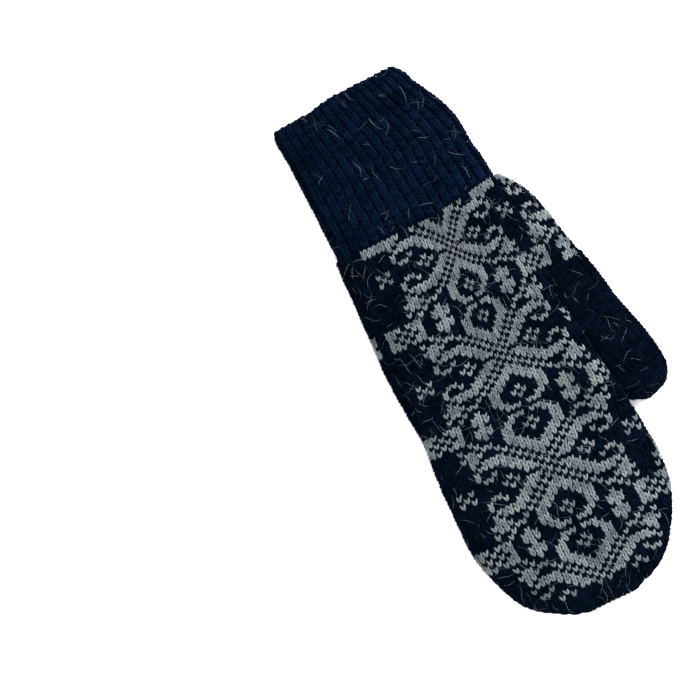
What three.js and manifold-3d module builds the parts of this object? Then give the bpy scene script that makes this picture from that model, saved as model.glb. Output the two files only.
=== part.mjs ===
// A knitted mitten for the right hand, lying palm down: a ribbed cuff, a hand with its thumb gusset, and a thumb.
// Millimetres. +Y runs from the wrist to the fingertips, +Z is up from the surface that it lies on,
// and the thumb is on the -X side. All three pieces are hollow, and the cuff is open at the wrist.

import * as THREE from 'three';
import { mergeVertices } from 'three/addons/utils/BufferGeometryUtils.js';
import Module from 'manifold-3d';

const wasm = await Module();
wasm.setup();

// Driving dimensions
const WALL = 2.8; // thickness of the knitted wall of the hand and the thumb
const CUFF_WALL = 2.4; // wall of the cuff, under its ribs
const RIB_COUNT = 36; // ribs around the cuff
const RIB_DEPTH = 1.1; // height of a rib over the groove beside it
const SEAT_GAP = 0.3; // clearance where two pieces meet
const CUFF_LENGTH = 70.3; // wrist opening to the start of the hand, on the middle line
const ROW_SLOPE = 0.07; // rise of a knitted row along Y for each millimetre along X, near the wrist
const SLOPE_END = 150; // where the rows have come level
const THUMB_SEAM = 116; // where the plain thumb starts, on the thumb's middle line
const THUMB_MIDDLE = -62; // X of the thumb's middle line at that seam

// Form of a flattened knitted tube
const FULLNESS = 2.5; // exponent of its rounded section: 2 is an ellipse, more is fuller
const MIDDLE_HEIGHT = 0.42; // height of its widest line, in thicknesses
const TOP_SHARE = 0.58; // from that line up to the crown
const UNDER_SHARE = 0.55; // from that line down, before the surface below flattens it
const RISE_START = 0.35; // where the lift of a raised edge begins, from the middle to the edge
const RISE_SQUEEZE = 0.12; // how much flatter a raised edge is

const HAND_POINTS = 40; // corners around a section of the hand
const THUMB_POINTS = 28;
const RIB_PROFILE = [0, 0.75, 1, 0.75]; // height of a rib at the corners from one groove to the next
const TRIM_SIZE = 400; // side of the blocks that trim a piece at a seam

// Cuff sections. little and thumb are the X of the two side edges.
const CUFF = [
  { y: -0.6, little: 34.6, thumb: -33.2, thick: 13.6 },
  { y: 1.6, little: 35.5, thumb: -35.8, thick: 14.8 },
  { y: 10, little: 35.3, thumb: -40.2, thick: 15.4 },
  { y: 20, little: 34.6, thumb: -44.8, thick: 15.8 },
  { y: 34, little: 33.7, thumb: -49.3, thick: 16 },
  { y: 47, little: 33.3, thumb: -50.5, thick: 16.2 },
  { y: 60, little: 32.8, thumb: -52.7, thick: 16.4 },
  { y: CUFF_LENGTH, little: 32.8, thumb: -53.6, thick: 16.6 },
];

// Hand sections. rise is how far the thumb-side edge is lifted where it lies over the thumb.
const HAND = [
  { y: 58, little: 32.6, thumb: -48.4, thick: 16.4, rise: 0 },
  { y: 70.3, little: 33.0, thumb: -49, thick: 17, rise: 0 },
  { y: 90, little: 33.6, thumb: -50.3, thick: 17.6, rise: 1 },
  { y: 106, little: 34.1, thumb: -51.5, thick: 18, rise: 3.4 },
  { y: 118, little: 34.2, thumb: -52.4, thick: 18, rise: 5.6 },
  { y: 132, little: 33.9, thumb: -54.8, thick: 18, rise: 6.6 },
  { y: 151, little: 32.9, thumb: -59.6, thick: 18, rise: 6.8 },
  { y: 170, little: 31.9, thumb: -62.7, thick: 18, rise: 6.8 },
  { y: 183, little: 33.1, thumb: -64.8, thick: 17.8, rise: 6.2 },
  { y: 198.5, little: 33.3, thumb: -67, thick: 17.4, rise: 4 },
  { y: 218, little: 33.0, thumb: -68.4, thick: 16.8, rise: 1.4 },
  { y: 230, little: 31.6, thumb: -67, thick: 16, rise: 0.4 },
  { y: 241, little: 27.9, thumb: -63.2, thick: 15, rise: 0 },
  { y: 250.5, little: 22.9, thumb: -57, thick: 13.8, rise: 0 },
  { y: 258.5, little: 15.7, thumb: -49.3, thick: 12.2, rise: 0 },
  { y: 264.5, little: 7.6, thumb: -42, thick: 10.8, rise: 0 },
  { y: 268.8, little: -1.5, thumb: -34.6, thick: 9, rise: 0 },
  { y: 271.4, little: -11.5, thumb: -26.5, thick: 7, rise: 0 },
];
const HAND_PULL_START = 225; // from here to the tip the inner wall draws back
const HAND_TIP_WALL = 4.4; // thicker than the rest, where the stitches are drawn together

// Gusset and thumb sections. hand is the X of the edge beside the hand, free that of the outer edge.
const THUMB = [
  { y: 54, hand: -6, free: -45, thick: 15.6 },
  { y: 64, hand: -6, free: -51.4, thick: 16.6 },
  { y: 71, hand: -8, free: -57.6, thick: 17 },
  { y: 79, hand: -12, free: -63.2, thick: 17.2 },
  { y: 90, hand: -18, free: -67.8, thick: 17 },
  { y: 100, hand: -28, free: -71.2, thick: 16.2 },
  { y: 109, hand: -39, free: -73.5, thick: 15 },
  { y: 116, hand: -45.5, free: -75.3, thick: 14 },
  { y: 128, hand: -49.6, free: -79, thick: 13.2 },
  { y: 142, hand: -52.3, free: -82.8, thick: 13 },
  { y: 158, hand: -55.2, free: -86.6, thick: 12.8 },
  { y: 171, hand: -57.9, free: -88.8, thick: 12.6 },
  { y: 178.5, hand: -60.1, free: -89.1, thick: 12.2 },
  { y: 184, hand: -63.2, free: -87, thick: 11.2 },
  { y: 187.7, hand: -67.2, free: -83.4, thick: 9.6 },
  { y: 189.6, hand: -71.4, free: -79.2, thick: 7.2 },
];
const THUMB_PULL_START = 165;

// The wrist edge isn't quite straight: its wave along Y, by X.
const EDGE_WAVE = [
  { x: -34, dy: 0 },
  { x: 3, dy: -1.1 },
  { x: 15, dy: 0.5 },
  { x: 35, dy: 0 },
];
const EDGE_WAVE_END = 20;

const lerp = THREE.MathUtils.lerp;
const smoothstep = THREE.MathUtils.smoothstep;

// Sections

/** Slope of the knitted rows at a place along the mitten. */
function slopeAt(y) {
  return ROW_SLOPE * (1 - smoothstep(y, CUFF_LENGTH, SLOPE_END));
}

/** Wave of the wrist edge at x, from the table. */
function edgeWave(x) {
  const next = EDGE_WAVE.findIndex((row) => row.x > x);
  if (next <= 0) return 0;
  const [low, high] = [EDGE_WAVE[next - 1], EDGE_WAVE[next]];
  return lerp(low.dy, high.dy, smoothstep(x, low.x, high.x));
}

/** A signed power, so that a superellipse keeps the signs of its cosine and sine. */
function signedPower(value, exponent) {
  return Math.sign(value) * Math.abs(value) ** exponent;
}

/**
 * One closed section of a flattened tube, as points around it, inset from the outer surface.
 * Its underside is flat where it rests, and its low-X edge is lifted by section.rise.
 */
function ring(section, inset, count) {
  const middle = (section.low + section.high) / 2;
  const half = (section.high - section.low) / 2 - inset;
  const points = [];
  for (let i = 0; i < count; i += 1) {
    const angle = (2 * Math.PI * i) / count;
    const side = signedPower(Math.cos(angle), 2 / FULLNESS);
    const up = signedPower(Math.sin(angle), 2 / FULLNESS);
    const share = up > 0 ? TOP_SHARE : UNDER_SHARE;
    const raised = smoothstep(-side, RISE_START, 1) * (section.rise > 0 ? 1 : 0);
    const reach = (section.thick * share - inset) * (1 - RISE_SQUEEZE * raised);
    const z = MIDDLE_HEIGHT * section.thick + section.rise * raised + reach * up;
    const x = middle + half * side;
    points.push(new THREE.Vector3(x, section.y + section.slope * (x - middle), Math.max(z, inset)));
  }
  return points;
}

/** Rows of a table as sections, with the names of their low-X and high-X edges given. */
function sections(table, low, high, sloped) {
  return table.map((row) => ({
    y: row.y,
    low: row[low],
    high: row[high],
    thick: row.thick,
    rise: row.rise ?? 0,
    slope: sloped ? slopeAt(row.y) : 0,
  }));
}

/** The same sections drawn back along Y near the closed tip, for the inner wall. */
function drawnBack(list, start, amount) {
  const tip = list[list.length - 1].y;
  return list.map((section) => ({ ...section, y: section.y - amount * smoothstep(section.y, start, tip) }));
}

// Solids

/** A closed mesh from rings of equal count, with a strip of faces over each end. */
function loft(rings) {
  const count = rings[0].length;
  const vertices = rings.flat();
  const faces = [];
  for (let k = 0; k + 1 < rings.length; k += 1) {
    for (let i = 0; i < count; i += 1) {
      const a = k * count + i;
      const b = k * count + ((i + 1) % count);
      faces.push([a, b + count, b], [a, a + count, b + count]);
    }
  }
  for (const [start, outward] of [[0, true], [(rings.length - 1) * count, false]]) {
    for (let i = 0; i < count / 2; i += 1) {
      const corners = [i, i + 1, count - i - 1, (count - i) % count].map((corner) => start + corner);
      const order = outward ? corners : corners.reverse();
      faces.push([order[0], order[1], order[2]], [order[0], order[2], order[3]]);
    }
  }
  return geometryOf(vertices, faces);
}

/** A BufferGeometry of points and triangles, with flat triangles left out. */
function geometryOf(vertices, faces) {
  const geometry = new THREE.BufferGeometry();
  geometry.setAttribute('position', new THREE.Float32BufferAttribute(vertices.flatMap((p) => p.toArray()), 3));
  geometry.setIndex(faces.filter(([a, b, c]) => a !== b && b !== c && c !== a).flat());
  return geometry;
}

/** A solid for cutting and joining, from a closed geometry. */
function solidOf(geometry) {
  const bare = geometry.clone();
  bare.deleteAttribute('normal');
  bare.deleteAttribute('uv');
  const merged = mergeVertices(bare);
  return new wasm.Manifold(new wasm.Mesh({
    numProp: 3,
    vertProperties: new Float32Array(merged.attributes.position.array),
    triVerts: new Uint32Array(merged.index.array),
  }));
}

/** The geometry of a solid. */
function geometryFrom(solid) {
  const mesh = solid.getMesh();
  const geometry = new THREE.BufferGeometry();
  geometry.setAttribute('position', new THREE.BufferAttribute(new Float32Array(mesh.vertProperties), 3));
  geometry.setIndex(new THREE.BufferAttribute(new Uint32Array(mesh.triVerts), 1));
  return geometry;
}

/** A block with one face on the seam through (x, y), at the rows' slope, that fills one side of it. */
function sideOfSeam(x, y, slope, towardTip) {
  const block = new THREE.BoxGeometry(TRIM_SIZE, TRIM_SIZE, TRIM_SIZE);
  block.translate(0, (towardTip ? 1 : -1) * (TRIM_SIZE / 2), 0);
  block.rotateZ(Math.atan(slope));
  block.translate(x, y, 0);
  return solidOf(block);
}

/** A flattened tube as a solid, inset from its outer surface. */
function tube(list, inset, count) {
  return solidOf(loft(list.map((section) => ring(section, inset, count))));
}

// Cuff

/** Points at equal steps along a closed section, with the outward direction at each. */
function evenSteps(section, inset, count) {
  const outline = ring(section, inset, 12 * HAND_POINTS);
  const curve = new THREE.CatmullRomCurve3(outline, true, 'catmullrom', 0.5);
  curve.arcLengthDivisions = outline.length * 2;
  return Array.from({ length: count }, (_, i) => {
    const at = i / count;
    const tangent = curve.getTangentAt(at);
    return { point: curve.getPointAt(at), outward: new THREE.Vector3(-tangent.z, 0, tangent.x).negate() };
  });
}

/** Outer ring of the cuff: ribs that stand over the grooves, none lower than the surface below. */
function ribbedRing(section) {
  const steps = evenSteps(section, RIB_DEPTH, RIB_COUNT * RIB_PROFILE.length);
  return steps.map(({ point, outward }, i) => {
    const moved = point.clone().addScaledVector(outward, RIB_DEPTH * RIB_PROFILE[i % RIB_PROFILE.length]);
    moved.y += edgeWave(moved.x) * (1 - smoothstep(section.y, 0, EDGE_WAVE_END));
    moved.z = Math.max(moved.z, 0);
    return moved;
  });
}

/** Inner ring of the cuff, one corner a groove. */
function smoothRing(section) {
  return evenSteps(section, RIB_DEPTH + CUFF_WALL, RIB_COUNT).map(({ point }) => {
    point.y += edgeWave(point.x) * (1 - smoothstep(section.y, 0, EDGE_WAVE_END));
    return point;
  });
}

/** The ribbed cuff: an open tube with ribs outside and a plain wall inside. */
function cuffGeometry() {
  const list = sections(CUFF, 'thumb', 'little', true);
  list[list.length - 1].y -= SEAT_GAP;
  const outer = list.map(ribbedRing);
  const inner = list.map(smoothRing);
  const around = RIB_COUNT * RIB_PROFILE.length;
  const vertices = [...outer.flat(), ...inner.flat()];
  const innerStart = outer.length * around;
  const faces = [];
  const addWall = (start, count, outward) => {
    for (let k = 0; k + 1 < list.length; k += 1) {
      for (let i = 0; i < count; i += 1) {
        const a = start + k * count + i;
        const b = start + k * count + ((i + 1) % count);
        const quad = [[a, b + count, b], [a, a + count, b + count]];
        faces.push(...(outward ? quad : quad.map((face) => face.reverse())));
      }
    }
  };
  const addRim = (k, atWrist) => {
    for (let rib = 0; rib < RIB_COUNT; rib += 1) {
      const nearInner = innerStart + k * RIB_COUNT + rib;
      const nextInner = innerStart + k * RIB_COUNT + ((rib + 1) % RIB_COUNT);
      const corner = (step) => k * around + ((rib * RIB_PROFILE.length + step) % around);
      const half = RIB_PROFILE.length / 2;
      const fan = RIB_PROFILE.map((_, step) => [step < half ? nearInner : nextInner, corner(step), corner(step + 1)]);
      fan.push([nearInner, corner(half), nextInner]);
      faces.push(...(atWrist ? fan : fan.map((face) => face.reverse())));
    }
  };
  addWall(0, around, true);
  addWall(innerStart, RIB_COUNT, false);
  addRim(0, true);
  addRim(list.length - 1, false);
  return geometryOf(vertices, faces);
}

// Hand and thumb

const handSections = sections(HAND, 'thumb', 'little', true);
const thumbSections = sections(THUMB, 'free', 'hand', false);
const handInside = drawnBack(handSections, HAND_PULL_START, HAND_TIP_WALL);
const thumbInside = drawnBack(thumbSections, THUMB_PULL_START, WALL);

/** The hand with its gusset, open to the cuff at the wrist and to the thumb at its seam. */
function handGeometry() {
  const cuffSide = sideOfSeam((HAND[1].thumb + HAND[1].little) / 2, CUFF_LENGTH, ROW_SLOPE, false);
  const gusset = tube(thumbSections, 0, THUMB_POINTS)
    .subtract(sideOfSeam(THUMB_MIDDLE, THUMB_SEAM, ROW_SLOPE, true));
  const opening = tube(thumbInside, WALL, THUMB_POINTS)
    .subtract(sideOfSeam(THUMB_MIDDLE, THUMB_SEAM + 2 * SEAT_GAP, ROW_SLOPE, true));
  const outside = tube(handSections, 0, HAND_POINTS).add(gusset);
  const inside = tube(handInside, WALL, HAND_POINTS).add(opening);
  return geometryFrom(outside.subtract(inside).subtract(cuffSide));
}

/** The plain thumb, a gap beyond its seam and clear of the edge of the hand that lies over it. */
function thumbGeometry() {
  const wall = tube(thumbSections, 0, THUMB_POINTS).subtract(tube(thumbInside, WALL, THUMB_POINTS));
  const gussetSide = sideOfSeam(THUMB_MIDDLE, THUMB_SEAM + SEAT_GAP, ROW_SLOPE, false);
  const handSpace = tube(handSections, -SEAT_GAP, HAND_POINTS);
  return geometryFrom(wall.subtract(gussetSide).subtract(handSpace));
}

// Assembly

const NAVY_WOOL = { color: 0x0d1f3a, roughness: 0.95, metalness: 0 };
const PATTERNED_WOOL = { color: 0x4c5a6b, roughness: 0.95, metalness: 0 };

/** A named piece in its own wool. */
function piece(name, geometry, wool) {
  const mesh = new THREE.Mesh(geometry, new THREE.MeshStandardMaterial(wool));
  mesh.name = name;
  return mesh;
}

const mitten = new THREE.Group();
mitten.add(piece('ribbed_cuff', cuffGeometry(), NAVY_WOOL));
mitten.add(piece('hand', handGeometry(), PATTERNED_WOOL));
mitten.add(piece('thumb', thumbGeometry(), NAVY_WOOL));

// The origin is under the middle of the mitten, on the surface.
const extent = new THREE.Box3().setFromObject(mitten);
const centre = extent.getCenter(new THREE.Vector3());
mitten.position.set(-centre.x, -centre.y, -extent.min.z);

export default mitten;
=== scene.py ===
"""The looks of a knitted mitten for the right hand, lying palm down: every stitch of its patterned wool."""
import logging
import math
from dataclasses import dataclass, field, fields
from enum import Enum
from typing import Callable, Sequence

import bpy
import numpy as np
from mathutils import Matrix


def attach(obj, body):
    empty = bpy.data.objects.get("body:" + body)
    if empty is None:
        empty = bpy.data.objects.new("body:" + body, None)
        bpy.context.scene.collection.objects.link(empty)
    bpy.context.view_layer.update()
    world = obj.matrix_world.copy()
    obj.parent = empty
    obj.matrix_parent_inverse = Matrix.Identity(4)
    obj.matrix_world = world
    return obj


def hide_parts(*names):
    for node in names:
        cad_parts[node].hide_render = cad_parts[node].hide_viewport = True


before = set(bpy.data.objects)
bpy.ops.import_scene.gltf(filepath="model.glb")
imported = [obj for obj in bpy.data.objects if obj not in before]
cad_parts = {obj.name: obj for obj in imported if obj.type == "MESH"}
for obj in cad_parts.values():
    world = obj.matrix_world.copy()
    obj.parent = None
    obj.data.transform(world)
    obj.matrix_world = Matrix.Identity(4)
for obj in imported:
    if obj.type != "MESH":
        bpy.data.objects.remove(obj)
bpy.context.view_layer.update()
LOG = logging.getLogger("mitten")

Pairs = tuple[tuple[float, float], ...]
Numbers = tuple[float, ...]

# Metres in a millimetre, and the mitten's own origin in the part's frame, in millimetres
MM = 0.001
SHIFT = np.array([27.0, -134.25, 0.0])

# How a flat section is shaped: how square its corners are, shares of its thickness, and its lifted edge
FULLNESS = 2.5
MIDDLE_HEIGHT = 0.42
TOP_SHARE = 0.58
UNDER_SHARE = 0.55
RISE_START = 0.35
RISE_SQUEEZE = 0.12

# Sizes that several parts of the mitten share, in millimetres
CUFF_LENGTH = 70.3
THUMB_SEAM = 116.0
THUMB_MIDDLE = -62.0
SEAM_SLOPE = 0.07
WALL_THICKNESS = 1.3
LOWEST_STITCH = 0.05
LOWEST_HAIR = 0.1
LOWEST_WALL = 0.1

# How unevenly stitches are knitted, and how far over its row one may reach before it is drawn straight
LENGTH_SPREAD = 0.05
TURN_SPREAD = 0.07
PLACE_SPREAD = 0.045
HEIGHT_SPREAD = 0.10
LONGEST_STITCH = 1.4


class Yarn(Enum):
    """The two yarns of the mitten."""

    NAVY = "navy"
    GREY = "grey"


class Face(Enum):
    """The two sides of the flat mitten."""

    BACK = "back"
    PALM = "palm"


def smoothstep(value: np.ndarray | float, low: float, high: float) -> np.ndarray | float:
    """Eases from 0 at low to 1 at high.

    Args:
        value: Where to take it.
        low: Where the step starts.
        high: Where the step ends.

    Returns:
        The eased share, between 0 and 1.
    """
    share = np.clip((value - low) / (high - low), 0.0, 1.0)
    return share * share * (3.0 - 2.0 * share)


def signed_power(value: np.ndarray, exponent: float) -> np.ndarray:
    """Raises the size of each value to a power and keeps its sign."""
    return np.sign(value) * np.abs(value) ** exponent


def through_points(at: np.ndarray, places: np.ndarray, values: np.ndarray) -> np.ndarray:
    """Runs a smooth curve through a table's values.

    Args:
        at: Where the curve is wanted.
        places: The places of the table's rows, rising.
        values: The value in each row.

    Returns:
        The curve's value at each wanted place.
    """
    at = np.clip(at, places[0], places[-1])
    k = np.clip(np.searchsorted(places, at) - 1, 0, len(places) - 2)
    lean = np.gradient(values, places)
    span = places[k + 1] - places[k]
    t = (at - places[k]) / span
    return (
        (2 * t**3 - 3 * t**2 + 1) * values[k]
        + (t**3 - 2 * t**2 + t) * span * lean[k]
        + (-2 * t**3 + 3 * t**2) * values[k + 1]
        + (t**3 - t**2) * span * lean[k + 1]
    )


def between(table: Pairs, at: np.ndarray | float) -> np.ndarray | float:
    """Value at a place, along straight lines between a table's rows of place and value."""
    return np.interp(at, *np.array(table).T)


def before_seam(points: np.ndarray, lead: float) -> np.ndarray:
    """Tells which points lie before the thumb's seam by more than a lead in millimetres."""
    return points[:, 1] < THUMB_SEAM + SEAM_SLOPE * (points[:, 0] - THUMB_MIDDLE) - lead


@dataclass(frozen=True)
class Section:
    """One cross-section of a flattened tube: its place, its two edges, its thickness and its lifted edge."""

    y: float
    high: float
    low: float
    thick: float
    rise: float = 0.0


@dataclass(frozen=True)
class FlatTube:
    """A flattened knitted tube through a few sections."""

    sections: tuple[Section, ...]

    @staticmethod
    def through(*rows: Numbers) -> "FlatTube":
        """A tube through sections, each given by its sizes in order."""
        return FlatTube(tuple(Section(*row) for row in rows))

    def sizes(self, name: str, y: np.ndarray) -> np.ndarray:
        """One named size, at several places along the tube."""
        places, values = np.array([(section.y, getattr(section, name)) for section in self.sections]).T
        return through_points(y, places, values)

    def size(self, name: str, y: float) -> float:
        """One named size, at a place along the tube."""
        return float(self.sizes(name, np.array([y]))[0])

    def middle(self, y: float) -> float:
        """X of the middle between the two edges."""
        return (self.size("low", y) + self.size("high", y)) / 2.0

    def outline(self, y: float, inset: float, angles: np.ndarray) -> np.ndarray:
        """The closed outline of the tube at one place.

        Args:
            y: The place along the tube.
            inset: How far inside the outer surface the outline runs.
            angles: The angle of each point, from the little finger's edge over the back of the hand.

        Returns:
            X and Z of each point.
        """
        low, high, thick, rise = (self.size(name, y) for name in ("low", "high", "thick", "rise"))
        side = signed_power(np.cos(angles), 2.0 / FULLNESS)
        up = signed_power(np.sin(angles), 2.0 / FULLNESS)
        share = np.where(up > 0, TOP_SHARE, UNDER_SHARE)
        raised = smoothstep(-side, RISE_START, 1.0)
        squeeze = 1.0 - RISE_SQUEEZE * raised * min(max(rise, 0.0), 1.0)
        x = (low + high) / 2.0 + ((high - low) / 2.0 - inset) * side
        z = MIDDLE_HEIGHT * thick + max(rise, 0.0) * raised + (thick * share - inset) * squeeze * up
        return np.stack([x, np.maximum(z, inset)], axis=1)

    def holds(self, points: np.ndarray, inset: float) -> np.ndarray:
        """Tells which points lie inside the tube.

        Args:
            points: Points in the mitten's own millimetres.
            inset: How deep inside the outer surface a point has to lie.

        Returns:
            One truth value a point.
        """
        y = points[:, 1]
        low, high, thick, rise = (self.sizes(name, y) for name in ("low", "high", "thick", "rise"))
        half = (high - low) / 2.0 - inset
        side = (points[:, 0] - (low + high) / 2.0) / half
        raised = smoothstep(-side, RISE_START, 1.0)
        z = points[:, 2] - MIDDLE_HEIGHT * thick - np.maximum(rise, 0.0) * raised
        reach = np.where(z > 0, TOP_SHARE, UNDER_SHARE) * thick - inset
        inside = np.abs(side) ** FULLNESS + np.abs(z / np.maximum(reach, 0.1)) ** FULLNESS < 1.0
        return inside & (y > self.sections[0].y) & (y < self.sections[-1].y)


CUFF_TUBE = FlatTube.through(
    (-0.6, 34.6, -31.0, 13.6),
    (1.6, 35.5, -33.5, 14.8),
    (10.0, 35.3, -38.2, 15.4),
    (20.0, 34.6, -43.6, 15.8),
    (34.0, 33.7, -49.3, 16.0),
    (47.0, 33.3, -50.5, 16.2),
    (60.0, 32.8, -52.7, 16.4),
    (70.3, 32.8, -53.6, 16.6),
    (74.0, 32.8, -54.0, 16.7),
)
HAND_TUBE = FlatTube.through(
    (58.0, 32.6, -48.4, 16.4),
    (70.3, 33.0, -49.0, 17.0),
    (90.0, 33.6, -50.3, 17.6, 1.0),
    (106.0, 34.1, -51.5, 18.0, 3.4),
    (118.0, 34.2, -52.4, 18.0, 5.6),
    (132.0, 33.9, -54.8, 18.0, 6.6),
    (151.0, 32.9, -58.8, 18.0, 6.8),
    (170.0, 31.9, -61.6, 18.0, 6.8),
    (183.0, 33.1, -64.0, 17.8, 6.2),
    (198.5, 33.3, -66.5, 17.4, 4.0),
    (218.0, 33.0, -68.2, 16.8, 1.4),
    (230.0, 31.6, -67.0, 16.0, 0.4),
    (241.0, 28.4, -63.2, 15.0),
    (250.5, 24.3, -58.0, 13.8),
    (258.5, 18.2, -52.2, 12.2),
    (264.5, 9.8, -45.0, 10.8),
    (268.8, 1.0, -35.8, 9.0),
    (271.4, -9.0, -28.8, 7.0),
    (272.4, -15.0, -23.0, 5.0),
)
THUMB_TUBE = FlatTube.through(
    (54.0, -6.0, -45.0, 15.6),
    (64.0, -6.0, -51.4, 16.6),
    (71.0, -8.0, -57.6, 17.0),
    (79.0, -12.0, -63.2, 17.2),
    (90.0, -18.0, -67.8, 17.0),
    (100.0, -28.0, -71.2, 16.2),
    (109.0, -39.0, -73.5, 15.0),
    (116.0, -45.5, -75.3, 14.0),
    (128.0, -49.6, -78.1, 13.2),
    (142.0, -52.3, -81.2, 13.0),
    (158.0, -55.2, -85.8, 12.8),
    (171.0, -57.9, -89.0, 12.6),
    (178.5, -60.1, -89.6, 12.2),
    (184.0, -63.6, -87.6, 11.2),
    (187.7, -67.6, -84.0, 9.6),
    (189.6, -71.4, -79.6, 7.2),
    (190.4, -73.6, -77.0, 5.0),
)

FULL_TURN = np.linspace(0.0, 2.0 * math.pi, 720, endpoint=False)


@dataclass
class RowPath:
    """One closed path around the fabric, measured from a starting point on the back of the hand.

    Distances count up towards the thumb's side, and down towards the little finger's.
    """

    points: np.ndarray
    lengths: np.ndarray = field(init=False)
    around: float = field(init=False)
    start: float = 0.0

    def __post_init__(self) -> None:
        """Measures the path."""
        steps = np.linalg.norm(np.diff(self.points, axis=0, append=self.points[:1]), axis=1)
        self.lengths = np.concatenate([[0.0], np.cumsum(steps)])
        self.around = float(self.lengths[-1])

    def begin_at(self, x: float) -> "RowPath":
        """Starts the path at the point of the back of the hand with this X."""
        top = self.points[:, 2] > self.points[:, 2].min() + 0.55 * np.ptp(self.points[:, 2])
        gap = np.where(top, np.abs(self.points[:, 0] - x), 1e9)
        self.start = float(self.lengths[int(np.argmin(gap))])
        return self

    def at(self, distance: np.ndarray) -> np.ndarray:
        """Points at distances along the path from its start."""
        along = np.mod(self.start + distance, self.around)
        closed = np.vstack([self.points, self.points[:1]])
        return np.stack([np.interp(along, self.lengths, closed[:, axis]) for axis in range(3)], axis=1)

    def spots(self, distance: np.ndarray, width: np.ndarray | float) -> tuple[np.ndarray, np.ndarray]:
        """Points at distances along the path, and the way that the path runs over a width at each."""
        return self.at(distance), self.at(distance + width / 2.0) - self.at(distance - width / 2.0)

    def nearest(self, points: np.ndarray) -> np.ndarray:
        """The path's own nearest point to each given one."""
        gaps = np.linalg.norm(points[:, None] - self.points[None], axis=2)
        return self.points[np.argmin(gaps, axis=1)]


def joined_outline(first: np.ndarray, second: np.ndarray) -> np.ndarray:
    """The outer outline of two flat sections that overlap.

    Args:
        first: X and Z around the first section.
        second: X and Z around the second section.

    Returns:
        X and Z around both together.
    """
    half = len(FULL_TURN) // 2 + 1
    low, high = min(first[:, 0].min(), second[:, 0].min()), max(first[:, 0].max(), second[:, 0].max())
    x = np.clip((low + high) / 2.0 + (high - low) / 2.0 * np.cos(FULL_TURN[:half]), low, high)
    tops, floors = [], []
    for outline in (first, second):
        over, under = outline[:half], np.vstack([outline[half - 1 :], outline[:1]])
        tops.append(np.interp(x, over[::-1, 0], over[::-1, 1], left=-1.0, right=-1.0))
        floors.append(np.interp(x, under[:, 0], under[:, 1], left=99.0, right=99.0))
    back = np.stack([x, np.maximum(*tops)], axis=1)
    palm = np.stack([x, np.minimum(*floors)], axis=1)
    return np.vstack([back, palm[-2:0:-1]])


def softened(points: np.ndarray, width: float) -> np.ndarray:
    """Evens out a closed path and softens its corners.

    Args:
        points: Points around the path.
        width: How wide the softening reaches, in millimetres.

    Returns:
        As many points, at equal steps.
    """
    path = RowPath(points)
    even = path.at(np.linspace(0.0, path.around, len(points), endpoint=False))
    reach = max(1, int(3.0 * width / (path.around / len(points))))
    offsets = np.arange(-reach, reach + 1)
    weights = np.exp(-0.5 * (offsets * path.around / len(points) / width) ** 2)
    weights /= weights.sum()
    return sum(weight * np.roll(even, offset, axis=0) for weight, offset in zip(weights, offsets))


def strand(
    rings: Sequence[tuple[float, float, float, float]], width: float, height: float, sides: int
) -> bpy.types.Object:
    """Models a short strand of yarn by extruding a small ring along a bent line.

    Args:
        rings: Place across, place along, height and girth of each ring.
        width: Half the strand's width where its girth is 1.
        height: Half its height there.
        sides: How many sides the strand has.

    Returns:
        The strand, closed at both ends.
    """
    bpy.ops.object.select_all(action="DESELECT")
    bpy.ops.mesh.primitive_circle_add(vertices=sides, radius=1.0, fill_type="NGON", location=(0, 0, 0))
    bpy.ops.object.mode_set(mode="EDIT")
    bpy.ops.mesh.select_all(action="SELECT")
    bpy.ops.transform.rotate(value=math.pi / 2, orient_axis="X", center_override=(0, 0, 0))
    girth = rings[0][3]
    bpy.ops.transform.resize(value=(width * girth, 1.0, height * girth), center_override=(0, 0, 0))
    bpy.ops.transform.translate(value=rings[0][:3])
    for before, after in zip(rings, rings[1:]):
        step = tuple(after[axis] - before[axis] for axis in range(3))
        bpy.ops.mesh.extrude_region_move(TRANSFORM_OT_translate={"value": step})
        bpy.ops.transform.resize(value=(after[3] / before[3],) * 3, center_override=after[:3])
    bpy.ops.mesh.select_all(action="SELECT")
    bpy.ops.mesh.normals_make_consistent(inside=False)
    bpy.ops.object.mode_set(mode="OBJECT")
    return bpy.context.object


@dataclass(frozen=True)
class Stitch:
    """One knitted stitch of two legs, in columns across, rows along and millimetres up.

    Each ring of a leg has its distance from the stitch's middle, its place along, its height and its girth,
    from the open end near the wrist to the point near the fingertips.
    """

    rings: tuple[tuple[float, float, float, float], ...] = (
        (0.385, -0.80, -0.10, 0.45),
        (0.320, -0.48, 0.28, 0.95),
        (0.220, -0.02, 0.44, 1.00),
        (0.120, 0.42, 0.28, 0.88),
        (0.045, 0.80, -0.15, 0.40),
    )
    leg_width: float = 0.222
    leg_height: float = 0.52

    def template(self) -> "Template":
        """Both legs of the stitch as one shape to lay."""
        legs = []
        for side in (1, -1):
            rings = [(side * aside, along, up, girth) for aside, along, up, girth in self.rings]
            legs.append(strand(rings, self.leg_width, self.leg_height, 4))
        for leg in legs:
            leg.select_set(True)
        bpy.context.view_layer.objects.active = legs[0]
        bpy.ops.object.join()
        return Template.taken_from(legs[0])


@dataclass
class Template:
    """A small shape that is modelled once and laid many times."""

    vertices: np.ndarray
    faces: list[tuple[int, ...]]

    @staticmethod
    def taken_from(shape: bpy.types.Object) -> "Template":
        """Takes the shape's mesh and removes the shape."""
        mesh = shape.data
        vertices = np.array([vertex.co[:] for vertex in mesh.vertices])
        faces = [tuple(polygon.vertices) for polygon in mesh.polygons]
        bpy.data.objects.remove(shape)
        bpy.data.meshes.remove(mesh)
        return Template(vertices, faces)


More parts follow.
